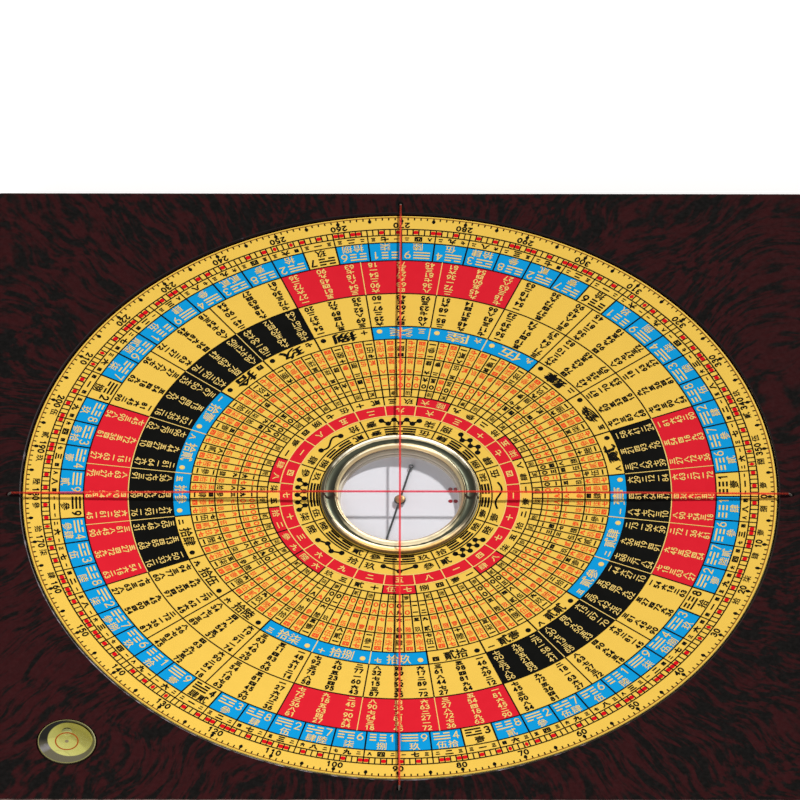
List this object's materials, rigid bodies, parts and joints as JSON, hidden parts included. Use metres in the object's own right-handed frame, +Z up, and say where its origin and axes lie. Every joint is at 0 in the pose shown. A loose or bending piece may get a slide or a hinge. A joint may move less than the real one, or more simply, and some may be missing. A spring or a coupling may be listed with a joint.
{
  "type": "feng shui compass",
  "caption": "Square wooden board with a round printed dial that turns in a recess, a sealed needle capsule at its centre, crossed red threads and a bull's-eye level in one corner.",
  "frame": {"origin": "centre of the board's underside, on the dial's axis", "axes": "+Z up along the dial's axis; +X right and +Y away from the viewer as pictured, both square to the board's sides"},
  "size_m": [0.2, 0.2, 0.0199],
  "materials": {
    "board": "red and black burl under semi-gloss lacquer",
    "plate": "printed rings in yellow, blue, red and black under a satin varnish",
    "core": "plain turned board",
    "slip": "nylon",
    "bush": "moulded acetal",
    "brass": "turned and lacquered",
    "crystal": "clear flat glass",
    "gasket": "pale moulded ring",
    "card": "white with two pairs of small dark red dots",
    "steel": "dark blued steel",
    "jewel": "polished bearing",
    "thread": "fine twisted red thread",
    "plug": "plain turned peg",
    "acrylic": "clear polished acrylic",
    "level": "yellow-green",
    "bubble": "clear air bubble"
  },
  "bodies": {
    "base": {"base_board": "board", "slip_ring": "slip", "hub_bush": "bush", "thread_across": "thread", "thread_along": "thread", "thread_plug_right": "plug", "thread_plug_far": "plug", "thread_plug_left": "plug", "thread_plug_near": "plug", "level_cap": "acrylic", "level_floor": "level"},
    "dial": {"dial_plate": "plate", "dial_core": "core", "capsule_cup": "brass", "capsule_bezel": "brass", "capsule_crystal": "crystal", "capsule_gasket": "gasket", "capsule_card": "card", "pivot_pin": "steel", "hub_washer": "brass", "hub_nut": "brass"},
    "needle": {"needle_blade": "steel", "needle_cap": "brass", "needle_jewel": "jewel"},
    "bubble": {"level_bubble": "bubble"}
  },
  "joints": [
    {"name": "dial_spin", "type": "hinge", "parent": "base", "child": "dial", "pos_m": [0, 0, 0], "axis": [0, 0, 1], "continuous": true},
    {"name": "needle_swing", "type": "hinge", "parent": "dial", "child": "needle", "pos_m": [0, 0, 0.016], "axis": [0, 0, 1], "continuous": true},
    {"name": "bubble_run", "type": "slide", "parent": "base", "child": "bubble", "axis": [0, 1, 0], "range_m": [-0.0087, 0]}
  ]
}
